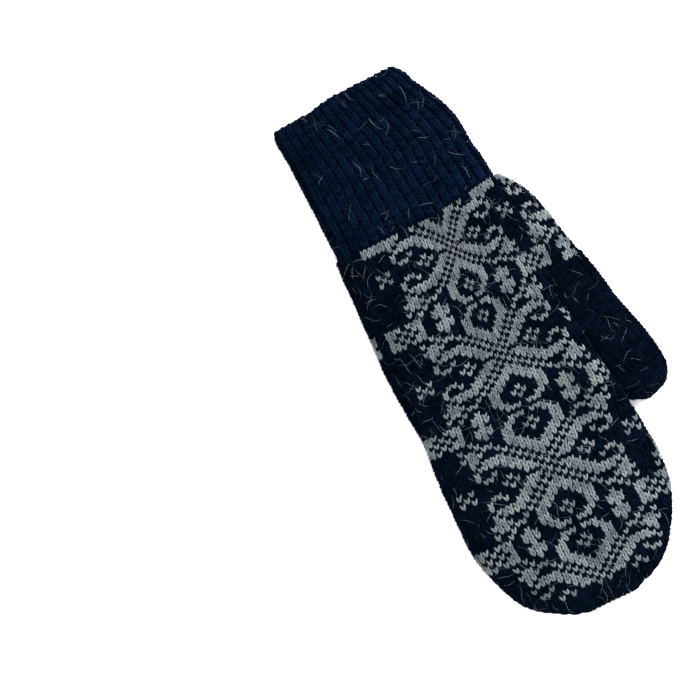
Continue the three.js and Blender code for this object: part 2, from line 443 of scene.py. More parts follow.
@dataclass
class Places:
    """Where stitches lie: each one's middle, its ways across, along and outward, its column and its row."""

    middle: np.ndarray
    across: np.ndarray
    along: np.ndarray
    outward: np.ndarray
    column: np.ndarray
    row: np.ndarray

    def chosen(self, keep: np.ndarray) -> "Places":
        """Only the places that are marked."""
        return Places(*(getattr(self, part.name)[keep] for part in fields(self)))

    @staticmethod
    def together(lists: Sequence["Places"]) -> "Places":
        """Several lists of places as one."""
        names = [part.name for part in fields(Places)]
        return Places(*(np.concatenate([getattr(one, name) for one in lists]) for name in names))


def swell(points: np.ndarray) -> np.ndarray:
    """The soft unevenness of the fabric at each point, in millimetres outward."""
    x, y = points[:, 0], points[:, 1]
    slow = np.sin(x / 9.0 + 1.3) * np.sin(y / 13.0 + 0.4) + 0.6 * np.sin(x / 5.3 - y / 7.7)
    return 0.22 * slow + 0.10 * np.sin(x / 2.9 + y / 3.7)


def joined_copies(
    name: str, vertices: np.ndarray, template: Template, draw: np.random.Generator, lowest: float
) -> bpy.types.Object:
    """Joins the copies of a shape as one smooth piece, with a tone drawn for each copy.

    Args:
        name: The piece's name.
        vertices: The corners of each copy, in the mitten's own millimetres.
        template: The shape that was copied.
        draw: The piece's random numbers.
        lowest: The least height of a corner, in millimetres.

    Returns:
        The piece.
    """
    count, size = vertices.shape[:2]
    corners = vertices.reshape(-1, 3) + SHIFT
    corners[:, 2] = np.maximum(corners[:, 2], lowest)
    faces = [tuple(index + copy * size for index in face) for copy in range(count) for face in template.faces]
    mesh = bpy.data.meshes.new(name)
    mesh.from_pydata((corners * MM).tolist(), [], faces)
    tone = mesh.attributes.new("tone", "FLOAT", "POINT")
    tone.data.foreach_set("value", np.repeat(draw.random(count), size).astype(np.float32))
    mesh.polygons.foreach_set("use_smooth", np.ones(len(mesh.polygons), bool))
    mesh.update()
    piece = bpy.data.objects.new(name, mesh)
    bpy.context.scene.collection.objects.link(piece)
    return piece


def laid(template: Template, places: Places, name: str, seed: int, height: float = 1.0) -> bpy.types.Object:
    """Lays one copy of a shape at each place and joins them all.

    Args:
        template: The shape, in columns, rows and millimetres of height.
        places: Where the copies go.
        name: The piece's name.
        seed: Seed of the small random differences.
        height: Share of the shape's own height.

    Returns:
        The piece.
    """
    draw = np.random.default_rng(seed)
    count = len(places.middle)
    stretch = 1.0 + LENGTH_SPREAD * draw.standard_normal((count, 1))
    turn = TURN_SPREAD * draw.standard_normal((count, 1))
    shift = PLACE_SPREAD * draw.standard_normal((count, 2))
    tall = height * (1.0 + HEIGHT_SPREAD * draw.standard_normal((count, 1, 1)))
    middle = places.middle + shift[:, :1] * places.across + shift[:, 1:] * places.along
    middle = middle + swell(places.middle)[:, None] * places.outward
    along = places.along * stretch + turn * places.across
    shape = template.vertices
    vertices = (
        middle[:, None]
        + shape[None, :, :1] * places.across[:, None]
        + shape[None, :, 1:2] * along[:, None]
        + shape[None, :, 2:] * tall * places.outward[:, None]
    )
    return joined_copies(name, vertices, template, draw, LOWEST_STITCH)


def outward_of(across: np.ndarray, along: np.ndarray) -> np.ndarray:
    """The outward direction of a patch from its column direction towards the thumb and its row direction."""
    normal = np.cross(along, across)
    return normal / np.maximum(np.linalg.norm(normal, axis=1, keepdims=True), 1e-9)


def onward(
    before: RowPath, after: RowPath, reaches: Sequence[np.ndarray], middle: np.ndarray, step: float
) -> np.ndarray:
    """The way from one row to the next at each stitch, drawn straight where the columns part too far.

    Args:
        before: The path before the stitches.
        after: The path after them.
        reaches: The columns' distances along the two paths.
        middle: The stitches' middles.
        step: How far apart the two paths lie.

    Returns:
        The ways.
    """
    along = after.at(reaches[1]) - before.at(reaches[0])
    long = np.linalg.norm(along, axis=1, keepdims=True) > LONGEST_STITCH * step
    return np.where(long, after.nearest(middle) - before.nearest(middle), along)


def with_inputs(node: bpy.types.Node, values: dict[str | int, float | Numbers]) -> bpy.types.Node:
    """Sets a shader node's inputs and hands it on."""
    for name, value in values.items():
        node.inputs[name].default_value = value
    return node


@dataclass(frozen=True)
class WoolFinish:
    """Soft, matt spun wool: fine fibres, slow clouds and a tone for each stitch, through a ramp."""

    name: str
    shade: tuple[float, float, float]
    lit: tuple[float, float, float]
    sheen: float
    sheen_tint: tuple[float, float, float] = (0.55, 0.7, 0.9)
    bump: float = 0.5
    roughness: float = 0.92
    gloss: float = 0.005
    sheen_roughness: float = 0.45
    fibre_scale: float = 1500.0
    cloud_scale: float = 70.0
    tone_share: float = 0.35
    cloud_share: float = 0.5
    ramp_share: float = 0.8
    ramp_ends: tuple[float, float] = (0.60, 0.88)
    bump_distance: float = 0.0003

    def material(self) -> bpy.types.Material:
        """Builds the wool's nodes.

        Returns:
            The material.
        """
        material = bpy.data.materials.new(self.name)
        material.use_nodes = True
        nodes, links = material.node_tree.nodes, material.node_tree.links
        shine = {
            "Roughness": self.roughness,
            "Specular IOR Level": self.gloss,
            "Sheen Weight": self.sheen,
            "Sheen Roughness": self.sheen_roughness,
            "Sheen Tint": (*self.sheen_tint, 1.0),
        }
        shader = with_inputs(nodes["Principled BSDF"], shine)
        place = nodes.new("ShaderNodeTexCoord")
        grain = {"Scale": self.fibre_scale, "Detail": 4.0, "Roughness": 0.65}
        fibres = with_inputs(nodes.new("ShaderNodeTexNoise"), grain)
        cloud = with_inputs(nodes.new("ShaderNodeTexNoise"), {"Scale": self.cloud_scale, "Detail": 2.0})
        for noise in (fibres, cloud):
            links.new(place.outputs["Object"], noise.inputs["Vector"])
        tone = nodes.new("ShaderNodeAttribute")
        tone.attribute_name = "tone"
        level = fibres.outputs["Fac"]
        for source, share in ((tone, self.tone_share), (cloud, self.cloud_share)):
            mixed = with_inputs(nodes.new("ShaderNodeMath"), {1: share})
            mixed.operation = "MULTIPLY_ADD"
            links.new(source.outputs["Fac"], mixed.inputs[0])
            links.new(level, mixed.inputs[2])
            level = mixed.outputs["Value"]
        scaled = with_inputs(nodes.new("ShaderNodeMath"), {1: self.ramp_share})
        scaled.operation = "MULTIPLY"
        links.new(level, scaled.inputs[0])
        ramp = nodes.new("ShaderNodeValToRGB")
        for element, end, colour in zip(ramp.color_ramp.elements, self.ramp_ends, (self.shade, self.lit)):
            element.position = end
            element.color = (*colour, 1.0)
        links.new(scaled.outputs["Value"], ramp.inputs["Fac"])
        links.new(ramp.outputs["Color"], shader.inputs["Base Color"])
        relief = {"Strength": self.bump, "Distance": self.bump_distance}
        bump = with_inputs(nodes.new("ShaderNodeBump"), relief)
        links.new(fibres.outputs["Fac"], bump.inputs["Height"])
        links.new(bump.outputs["Normal"], shader.inputs["Normal"])
        return material


@dataclass(frozen=True)
class Wools:
    """The mitten's finishes."""

    navy: bpy.types.Material
    # The cuff's navy yarn, darkened for the hand and thumb as painted shade
    dark_navy: bpy.types.Material
    grey: bpy.types.Material
    inside: bpy.types.Material
    hair: bpy.types.Material

    @staticmethod
    def spun() -> "Wools":
        """Makes all the finishes."""
        blue, pale = (0.1, 0.5, 0.9), (0.9, 0.95, 1.0)
        finishes = (
            WoolFinish("navy_wool_yarn", (0.0001, 0.0004, 0.0030), (0.0018, 0.0047, 0.0170), 0.06, blue),
            # The same navy yarn as the cuff's, darkened for the hand and thumb: painted shade
            WoolFinish("shaded_navy_wool_yarn", (0.0001, 0.0002, 0.0010), (0.0014, 0.0026, 0.0080), 0.04, blue),
            WoolFinish("grey_wool_yarn", (0.073, 0.090, 0.100), (0.168, 0.188, 0.194), 0.06, pale),
            WoolFinish("navy_wool_inside", (0.0002, 0.001, 0.004), (0.0014, 0.0048, 0.0136), 0.01, bump=0.9),
            WoolFinish("loose_wool_hair", (0.025, 0.036, 0.050), (0.16, 0.18, 0.21), 0.1, (0.8, 0.9, 1.0)),
        )
        return Wools(*(finish.material() for finish in finishes))

    def of(self, yarn: Yarn) -> bpy.types.Material:
        """The finish of one yarn of the hand: navy gets the darkened copy of the navy yarn, which is painted
        shade.
        """
        return self.dark_navy if yarn is Yarn.NAVY else self.grey


def dressed(piece: bpy.types.Object, material: bpy.types.Material, node: str) -> bpy.types.Object:
    """Gives a piece its finish and its place in the part.

    Args:
        piece: The piece.
        material: Its finish.
        node: The solid that it stands for.

    Returns:
        The same piece.
    """
    piece.data.materials.clear()
    piece.data.materials.append(material)
    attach(piece, "root")
    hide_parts(node)
    count = sum(len(polygon.vertices) - 2 for polygon in piece.data.polygons)
    LOG.info("%s: %d triangles", piece.name, count)
    return piece


def rings_around(paths: Sequence[RowPath], count: int, closed: bool) -> np.ndarray:
    """Even points around each path.

    Args:
        paths: The paths, in order along the fabric.
        count: How many points each path gets.
        closed: Whether one more ring is drawn together to a point, for a closed tip.

    Returns:
        The rings, by step and by point.
    """
    rings = [path.at(np.linspace(0.0, path.around, count, endpoint=False)) for path in paths]
    if closed:
        rings.append(np.repeat(rings[-1].mean(axis=0, keepdims=True), count, axis=0))
    return np.array(rings)


def inner_wall(name: str, rings: np.ndarray, keep: Callable[[np.ndarray], np.ndarray]) -> bpy.types.Object:
    """The felted inner face of the fabric behind the stitches, bent from a flat grid.

    Args:
        name: The piece's name.
        rings: Points around the fabric at each step along it.
        keep: Tells from face middles, in millimetres, which faces stay.

    Returns:
        The piece.
    """
    steps, around = rings.shape[:2]
    across = np.roll(rings, -1, axis=1) - np.roll(rings, 1, axis=1)
    along = np.gradient(rings, axis=0)
    outward = outward_of(across.reshape(-1, 3), along.reshape(-1, 3)).reshape(rings.shape)
    bpy.ops.object.select_all(action="DESELECT")
    bpy.ops.mesh.primitive_grid_add(x_subdivisions=around, y_subdivisions=steps - 1, size=1.0)
    wall = bpy.context.object
    wall.name = name
    wall.data.name = name
    flat = np.array([vertex.co[:] for vertex in wall.data.vertices])
    column = np.rint((flat[:, 0] + 0.5) * around).astype(int) % around
    step = np.rint((flat[:, 1] + 0.5) * (steps - 1)).astype(int)
    bent = rings[step, column]
    bent = bent + swell(bent)[:, None] * outward[step, column]
    bent[:, 2] = np.maximum(bent[:, 2], LOWEST_WALL)
    wall.data.vertices.foreach_set("co", ((bent + SHIFT) * MM).ravel())
    bpy.ops.object.mode_set(mode="EDIT")
    bpy.ops.mesh.select_all(action="SELECT")
    bpy.ops.mesh.remove_doubles(threshold=0.02 * MM)
    bpy.ops.mesh.normals_make_consistent(inside=False)
    bpy.ops.mesh.select_mode(type="FACE")
    bpy.ops.mesh.select_all(action="DESELECT")
    bpy.ops.object.mode_set(mode="OBJECT")
    middles = np.array([polygon.center[:] for polygon in wall.data.polygons]) / MM - SHIFT
    wall.data.polygons.foreach_set("select", ~keep(middles))
    bpy.ops.object.mode_set(mode="EDIT")
    bpy.ops.mesh.delete(type="FACE")
    bpy.ops.mesh.select_mode(type="VERT")
    bpy.ops.object.mode_set(mode="OBJECT")
    solid = wall.modifiers.new("fabric", "SOLIDIFY")
    solid.thickness = WALL_THICKNESS * MM
    solid.offset = -1.0
    bpy.ops.object.modifier_apply(modifier="fabric")
    bpy.ops.object.shade_smooth()
    return wall


@dataclass
class RibbedCuff:
    """The wrist band in 1x1 rib: columns of stitches that stand over grooves of purl bumps."""

    ribs: int = 36
    row_height: float = 2.02
    rib_width: float = 0.70
    rib_lift: float = 0.792
    groove_width: float = 0.62
    groove_lift: float = -0.15
    bump_size: tuple[float, float, float] = (0.62, 0.42, 0.55)
    inset: float = 1.75
    softness: float = 0.8
    end_margin: float = 0.4
    row_slopes: Pairs = ((0.0, 0.07), (45.0, 0.07), (74.0, 0.11))
    wave_end: float = 20.0
    wave: Pairs = ((-34.0, 0.0), (3.0, -1.1), (15.0, 0.5), (35.0, 0.0))
    edge_places: tuple[float, float] = (-0.5, 0.5)
    edge_inset: float = 1.65
    edge_lifts: tuple[float, float] = (0.15, 0.75)
    loop_width: float = 1.1
    loop_length: float = 1.9
    wall_ends: tuple[float, float] = (-0.3, CUFF_LENGTH + 2.2)
    wall_inset: float = 1.95
    wall_steps: int = 26
    wall_points: int = 108

    def path(self, y: float, inset: float) -> RowPath:
        """The path around the cuff at one place along it.

        Args:
            y: The place along the cuff.
            inset: How far inside the outer surface it runs.

        Returns:
            The path, from the little finger's edge over the back of the hand.
        """
        outline = softened(np.insert(CUFF_TUBE.outline(y, inset, FULL_TURN), 1, y, axis=1), self.softness)
        outline[:, 1] += between(self.row_slopes, y) * (outline[:, 0] - CUFF_TUBE.middle(y))
        outline[:, 1] += between(self.wave, outline[:, 0]) * (1.0 - smoothstep(y, 0.0, self.wave_end))
        path = RowPath(outline)
        path.start = float(path.lengths[int(np.argmax(outline[:, 0]))])
        return path

    def places(self, grooves: bool) -> Places:
        """Where the stitches of the ribs lie, or the bumps of the grooves.

        Args:
            grooves: True for the grooves between the ribs.

        Returns:
            The places.
        """
        found = []
        columns = np.arange(self.ribs)
        share = (columns + (0.0 if grooves else 0.5)) / self.ribs
        lift = self.groove_lift if grooves else self.rib_lift
        for row in np.arange(self.end_margin, (CUFF_LENGTH - self.end_margin) / self.row_height):
            y = row * self.row_height
            here, before, after = (self.path(y + step, self.inset) for step in (0.0, -1.0, 1.0))
            width = here.around / self.ribs * (self.groove_width if grooves else self.rib_width)
            middle, across = here.spots(share * here.around, width)
            along = after.at(share * after.around) - before.at(share * before.around)
            along = along * self.row_height / 2.0
            outward = outward_of(across, along)
            rows = np.full(self.ribs, row)
            found.append(Places(middle + outward * lift, across, along, outward, columns, rows))
        return Places.together(found)

    def purl_bump(self) -> Template:
        """Models the low bump across a groove."""
        bpy.ops.object.select_all(action="DESELECT")
        bpy.ops.mesh.primitive_uv_sphere_add(segments=5, ring_count=4, radius=1.0, location=(0, 0, 0))
        bpy.ops.object.mode_set(mode="EDIT")
        bpy.ops.mesh.select_all(action="SELECT")
        bpy.ops.transform.rotate(value=math.pi / 2, orient_axis="Y", center_override=(0, 0, 0))
        bpy.ops.transform.resize(value=self.bump_size, center_override=(0, 0, 0))
        bpy.ops.object.mode_set(mode="OBJECT")
        return Template.taken_from(bpy.context.object)

    def edge_loops(self) -> Places:
        """Where the cast-on loops of the wrist edge lie, every second one lifted."""
        path, after = (self.path(y, self.edge_inset) for y in self.edge_places)
        count = 2 * self.ribs
        share = np.arange(count) / count
        middle, across = path.spots(share * path.around, path.around / count)
        along = (after.at(share * after.around) - middle) * self.loop_length
        outward = outward_of(across, along)
        lift = np.tile(self.edge_lifts, self.ribs)[:, None]
        ways = (across * self.loop_width, along, outward)
        return Places(middle + outward * lift, *ways, np.arange(count), np.full(count, -1.0))

    def everywhere(self, middles: np.ndarray) -> np.ndarray:
        """Keeps every face of the cuff's wall."""
        return np.ones(len(middles), bool)

    def build(self, stitch: Template, wools: Wools) -> list[bpy.types.Object]:
        """Builds and dresses the cuff.

        Args:
            stitch: The knitted stitch.
            wools: The finishes.

        Returns:
            The cuff's pieces.
        """
        bump = self.purl_bump()
        yarn = (
            laid(stitch, self.places(False), "cuff_ribs", 11, 1.05),
            laid(bump, self.places(True), "cuff_grooves", 12),
            laid(bump, self.edge_loops(), "cuff_edge", 13, 1.2),
        )
        paths = [self.path(float(y), self.wall_inset) for y in np.linspace(*self.wall_ends, self.wall_steps)]
        wall = inner_wall("cuff_wall", rings_around(paths, self.wall_points, False), self.everywhere)
        pieces = [dressed(piece, wools.navy, "ribbed_cuff") for piece in yarn]
        return [*pieces, dressed(wall, wools.inside, "ribbed_cuff")]


@dataclass(frozen=True)
class PatternChart:
    """A quarter of the repeat, drawn and mirrored both ways: rows 5 to 19 down, columns 0 to 15."""

    first_row: int = 5
    rows: tuple[str, ...] = (
        "........#...#.#.",
        ".###...###..##.#",
        "...##..###..###.",
        "#...##..#..#....",
        ".#..##....#..#..",
        "#...##..##.##...",
        "...###.#..####..",
        "..###.#....##...",
        ".###.#.####.#...",
        "###.#.######....",
        "##.#.###....#...",
        "#.#.###..#..#...",
        ".#.###....##....",
        "#.###..#......#.",
        ".#....#.#......#",
    )
    last_patterned_row: int = 47
    last_starting_row: int = -44
    starting_bars: tuple[tuple[int, int], ...] = ((-17, -11), (10, 15))
    side_band: tuple[int, int] = (16, 25)
    band_width: int = 7
    crossing_rows: int = 2

    def grey(self, column: np.ndarray, row: np.ndarray) -> np.ndarray:
        """Tells which stitches are knitted in grey.

        Args:
            column: Columns, counted from the middle of the main figure.
            row: Rows, counted towards the fingertips.

        Returns:
            One truth value a stitch.
        """
        cells = np.array([[mark == "#" for mark in line] for line in self.rows])
        high, wide = 2 * (len(self.rows) - 1), 2 * (len(self.rows[0]) - 1)
        down = np.mod(row.astype(int) - self.first_row, high)
        down = np.minimum(down, high - down)
        first, last = self.side_band
        past_band = column < -last
        over = np.mod(np.where(past_band, column + self.band_width, column).astype(int), wide)
        over = np.minimum(over, wide - over)
        plain = (column < -first) & ~past_band & (down > self.crossing_rows)
        bars = np.zeros(len(column), bool)
        for first, last in self.starting_bars:
            bars |= (column >= first) & (column <= last) & (row <= self.last_starting_row)
        return (cells[down, over] & ~plain | bars) & (row <= self.last_patterned_row)


@dataclass
class KnittedHand:
    """The hand with its thumb gusset: stranded knitting that runs around the flat bag."""

    first_row: int = -45
    last_row: int = 52
    seam_row: int = -21
    inset: float = 0.45
    softness: float = 1.1
    row_places: Pairs = (
        (-47.0, 66.5), (-44.0, 72.5), (-36.0, 88.2), (-27.0, 105.8), (-19.0, 122.0), (1.0, 161.2),
        (9.0, 177.3), (29.0, 220.6), (37.0, 238.6), (47.0, 259.7), (52.0, 270.4), (54.0, 272.4),
    )
    middle_line: Pairs = (
        (58.0, -19.3), (105.0, -19.5), (161.0, -19.5), (177.0, -18.8), (221.0, -17.4), (238.6, -18.5),
        (260.0, -19.2), (272.5, -19.2),
    )
    bow: Pairs = (
        (-62.0, -3.0), (-52.0, -3.6), (-33.0, -6.0), (-15.0, -2.6), (0.0, 0.0), (20.0, 1.2), (36.0, 2.0),
        (54.0, 1.4),
    )
    reach_columns: Numbers = (0.0, 5.5, 9.5, 11.5, 18.5, 30.0, 60.0)
    thumb_side_at_wrist: Numbers = (0.0, 9.7, 19.9, 24.7, 40.8, 67.2, 136.2)
    outer_side_at_wrist: Numbers = (0.0, 10.5, 22.3, 28.0, 46.5, 77.1, 156.9)
    thumb_side_past_thumb: Numbers = (0.0, 15.0, 26.8, 32.6, 53.4, 84.4, 165.4)
    outer_side_past_thumb: Numbers = (0.0, 15.0, 26.8, 32.2, 53.3, 84.4, 165.4)
    thumb_side_ease: tuple[float, float] = (105.0, 172.0)
    outer_side_ease: tuple[float, float] = (110.0, 170.0)
    breadth: Pairs = (
        (64.0, 0.92), (85.0, 0.935), (108.0, 1.0), (161.0, 1.0), (177.0, 1.02), (220.0, 0.985),
        (238.0, 0.975),
    )
    bow_strength: tuple[tuple[float, float, float], ...] = (
        (64.0, 0.85, 0.45), (90.0, 0.92, 0.6), (112.0, 1.0, 1.0), (120.0, 1.0, 1.0), (142.0, 0.62, 0.62),
        (165.0, 0.08, 0.08), (172.0, 0.0, 0.0),
    )
    gusset_lead: float = -2.4
    gusset_reach: tuple[float, float] = (33.0, 44.0)
    gusset_end: tuple[float, float] = (90.0, 108.0)
    far_pitch: float = 2.7
    charted_columns: int = 18
    plain_edge: float = 7.0
    plain_edge_start: float = 236.53
    hidden_depth: float = 2.2
    wall_inset: float = 0.57
    wall_rows: tuple[float, float] = (-46.5, 52.9)
    wall_points: int = 96
    chart: PatternChart = field(default_factory=PatternChart)

    def y_of(self, row: float) -> float:
        """Place of a row along the middle column."""
        return float(through_points(np.array([row]), *np.array(self.row_places).T)[0])

    def bow_of(self, y: float, aside: np.ndarray) -> np.ndarray:
        """How far a row runs ahead of its middle column, as the fabric is pulled askew near the thumb.

        Args:
            y: The place of the row.
            aside: Distance in X from the middle column, towards the little finger.

        Returns:
            The lead in millimetres towards the fingertips.
        """
        heights, thumb_side, outer_side = np.array(self.bow_strength).T
        strength = np.where(aside < 0.0, np.interp(y, heights, thumb_side), np.interp(y, heights, outer_side))
        fade = 1.0 - float(smoothstep(y, *self.gusset_end))
        gusset = self.gusset_lead * smoothstep(-aside, *self.gusset_reach) * fade
        return through_points(aside, *np.array(self.bow).T) * strength + gusset

    def distance(self, column: np.ndarray, y: float) -> np.ndarray:
        """Distance of columns from the middle one, around the fabric.

        Args:
            column: The columns, with fractions allowed.
            y: The place along the mitten.

        Returns:
            The distances in millimetres, signed as the columns are.
        """
        eases = (smoothstep(y, *ends) for ends in (self.thumb_side_ease, self.outer_side_ease))
        ease = np.where(column > 0, *eases)
        size, columns = np.abs(column), np.array(self.reach_columns)
        narrow, wide = (
            np.where(column > 0, *(through_points(size, columns, np.array(table)) for table in tables))
            for tables in (
                (self.thumb_side_at_wrist, self.outer_side_at_wrist),
                (self.thumb_side_past_thumb, self.outer_side_past_thumb),
            )
        )
        return np.sign(column) * (narrow + (wide - narrow) * ease) * float(between(self.breadth, y))

    def spread_of(self, y: float, around: float, side: int) -> tuple[int, int]:
        """How one side's columns are shared out.

        Args:
            y: The place along the mitten.
            around: The length of the whole row.
            side: 1 for the thumb's side, -1 for the little finger's.

        Returns:
            The last column at its charted distance, and how many lie evenly from there to the palm's middle.
        """
        reach = np.abs(self.distance(side * np.arange(self.charted_columns + 1.0), y))
        last = max(int(np.sum(reach < around / 2.0 - 2.0 * self.far_pitch)) - 1, 0)
        return last, max(1, round((around / 2.0 - float(reach[last])) / self.far_pitch))

    def distances(self, y: float, around: float, shares: Sequence[tuple[int, int]]) -> np.ndarray:
        """Distances of one row's columns from the middle one.

        Args:
            y: The place along the mitten.
            around: The length of the whole row.
            shares: How the columns of the little finger's side and of the thumb's side are shared out.

        Returns:
            The distances, from beside the palm's middle round over the back to the palm's middle.
        """
        sides = []
        for side, (last, count) in zip((-1, 1), shares):
            near = np.abs(self.distance(side * np.arange(1.0, last + 1.0), y))
            edge = float(near[-1]) if last else 0.0
            even = edge + (around / 2.0 - edge) * np.arange(1, count + 1) / count
            sides.append(side * np.append(near, even))
        return np.concatenate([sides[0][-2::-1], [0.0], sides[1]])

    def path(self, row: float, inset: float, with_gusset: bool) -> RowPath:
        """The path of one knitted row.

        Args:
            row: The row, with fractions allowed.
            inset: How far inside the outer surface it runs.
            with_gusset: Whether the row goes round the gusset too.

        Returns:
            The path, from the middle column.
        """
        place = self.y_of(row)
        start = float(between(self.middle_line, place))
        flat = HAND_TUBE.outline(place, inset, FULL_TURN)
        if with_gusset:
            over = place + float(self.bow_of(place, np.array([THUMB_TUBE.middle(place) - start]))[0])
            if over > THUMB_TUBE.sections[0].y + 1.0:
                flat = joined_outline(flat, THUMB_TUBE.outline(over, inset, FULL_TURN))
        points = softened(np.insert(flat, 1, place, axis=1), self.softness)
        points[:, 1] += self.bow_of(place, points[:, 0] - start)
        return RowPath(points).begin_at(start)

    def row_stitches(self, row: int) -> Places:
        """Where one row's stitches lie.

        Args:
            row: The row.

        Returns:
            The places, with the last column on the middle line of the palm.
        """
        steps = (0.0, -0.5, 0.5)
        here, before, after = (self.path(row + step, self.inset, row <= self.seam_row) for step in steps)
        heights = [self.y_of(row + step) for step in steps]
        shares = [self.spread_of(heights[0], here.around, side) for side in (-1, 1)]
        reach, *reaches = (
            self.distances(y, path.around, shares) for y, path in zip(heights, (here, before, after))
        )
        middle, across = here.spots(reach, np.gradient(reach))
        along = onward(before, after, reaches, middle, heights[2] - heights[1])
        columns = np.arange(len(reach)) - (sum(shares[0]) - 1)
        rows = np.full(len(columns), float(row))
        return Places(middle, across, along, outward_of(across, along), columns, rows)

    def stitches(self) -> Places:
        """Where all the stitches of the hand lie."""
        return Places.together([self.row_stitches(row) for row in range(self.first_row, self.last_row + 1)])

    def in_grey(self, places: Places) -> np.ndarray:
        """Tells which stitches are grey: those of the chart, but none on the narrowing edges of the tip."""
        x, y = places.middle[:, 0], places.middle[:, 1]
        half = (HAND_TUBE.sizes("high", y) - HAND_TUBE.sizes("low", y)) / 2.0
        aside = np.abs(x - between(self.middle_line, y))
        edge = (aside > half - self.plain_edge) & (y > self.plain_edge_start)
        return self.chart.grey(places.column, places.row) & ~edge

    def build(self, stitch: Template, wools: Wools) -> list[bpy.types.Object]:
        """Builds and dresses the hand.

        Args:
            stitch: The knitted stitch.
            wools: The finishes.

        Returns:
            The hand's pieces.
        """
        places = self.stitches()
        grey, back = self.in_grey(places), places.outward[:, 2] > 0.0
        pieces = []
        for face in Face:
            for yarn in Yarn:
                chosen = (grey if yarn is Yarn.GREY else ~grey) & (back if face is Face.BACK else ~back)
                name = f"hand_{face.value}_{yarn.value}"
                piece = laid(stitch, places.chosen(chosen), name, 21 + len(pieces))
                pieces.append(dressed(piece, wools.of(yarn), "hand"))
        rows = np.linspace(*self.wall_rows, self.wall_points)
        paths = [self.path(float(row), self.wall_inset, False) for row in rows]
        wall = inner_wall("hand_wall", rings_around(paths, self.wall_points, True), self.outside_gusset)
        return [*pieces, dressed(wall, wools.inside, "hand")]

    def outside_gusset(self, middles: np.ndarray) -> np.ndarray:
        """Tells which faces of the hand's wall aren't hidden inside the gusset."""
        return ~(THUMB_TUBE.holds(middles, self.hidden_depth) & before_seam(middles, 1.0))


@dataclass
class KnittedThumb:
    """The plain thumb, knitted round from the gusset's seam to its closed tip."""

    row_height: float = 2.02
    pitch: float = 2.72
    inset: float = 0.35
    softness: float = 0.8
    lean: float = 0.17
    lean_end: tuple[float, float] = (172.0, 186.0)
    slant_reach: int = 4
    first_y: float = 113.0
    last_y: float = 190.3
    half_step: float = 0.6
    end_share: float = 0.62
    seam_overlap: float = 0.8
    hidden_depth: float = 2.6
    wall_inset: float = 0.6
    wall_ends: tuple[float, float] = (66.0, 190.0)
    wall_hidden_depth: float = 3.4
    wall_points: int = 56

    def slanted(self, y: float, inset: float) -> np.ndarray:
        """Points around the thumb in a plane across its own axis.

        Args:
            y: The place of the plane at the thumb's middle.
            inset: How far inside the outer surface they lie.

        Returns:
            The points.
        """
        reach = self.slant_reach
        flat = THUMB_TUBE.outline(y, inset, FULL_TURN)
        levels = range(-reach, reach + 1)
        stack = np.array([THUMB_TUBE.outline(y + level, inset, FULL_TURN) for level in levels])
        lean = self.lean * (1.0 - float(smoothstep(y, *self.lean_end)))
        shift = np.clip(lean * (flat[:, 0] - THUMB_TUBE.middle(y)), -reach, reach)
        k = np.clip((shift + reach).astype(int), 0, 2 * reach - 1)
        t = (shift + reach - k)[:, None]
        index = np.arange(len(flat))
        mixed = stack[k, index] * (1 - t) + stack[k + 1, index] * t
        place = np.minimum(y + shift, THUMB_TUBE.sections[-1].y)
        return softened(np.insert(mixed, 1, place, axis=1), self.softness)

    def path(self, y: float, inset: float) -> RowPath:
        """The path of one row, from the middle of the thumb's back."""
        return RowPath(self.slanted(y, inset)).begin_at(THUMB_TUBE.middle(y))

    def stitches(self) -> Places:
        """Where the thumb's stitches lie: past the seam, and not inside the hand."""
        found = []
        step, sides = 2.0 * self.half_step, (0.0, -self.half_step, self.half_step)
        for row in range(int((self.last_y - self.first_y) / self.row_height) + 1):
            y = self.first_y + row * self.row_height
            here, before, after = (self.path(y + side, self.inset) for side in sides)
            count = int((here.around / 2.0 - self.end_share * self.pitch) / self.pitch)
            columns = np.arange(-count, count + 1) * self.pitch
            reach, *reaches = (np.append(columns, path.around / 2.0) for path in (here, before, after))
            middle, across = here.spots(reach, self.pitch)
            along = onward(before, after, reaches, middle, step) * self.row_height / step
            rows = np.full(len(reach), float(row))
            found.append(Places(middle, across, along, outward_of(across, along), reach, rows))
        places = Places.together(found)
        in_hand = HAND_TUBE.holds(places.middle, self.hidden_depth)
        return places.chosen(~(before_seam(places.middle, self.seam_overlap) | in_hand))

    def wall_shown(self, middles: np.ndarray) -> np.ndarray:
        """Tells which faces of the thumb's wall lie outside the hand."""
        return ~HAND_TUBE.holds(middles, self.wall_hidden_depth)

    def build(self, stitch: Template, wools: Wools) -> list[bpy.types.Object]:
        """Builds and dresses the thumb.

        Args:
            stitch: The knitted stitch.
            wools: The finishes.

        Returns:
            The thumb's pieces.
        """
        knit = laid(stitch, self.stitches(), "thumb_knit", 31)
        paths = [self.path(float(y), self.wall_inset) for y in np.linspace(*self.wall_ends, self.wall_points)]
        wall = inner_wall("thumb_wall", rings_around(paths, self.wall_points, True), self.wall_shown)
        # The thumb's knit takes the darkened navy, which is painted shade
        pieces = ((knit, wools.dark_navy), (wall, wools.inside))
        return [dressed(piece, wool, "thumb") for piece, wool in pieces]


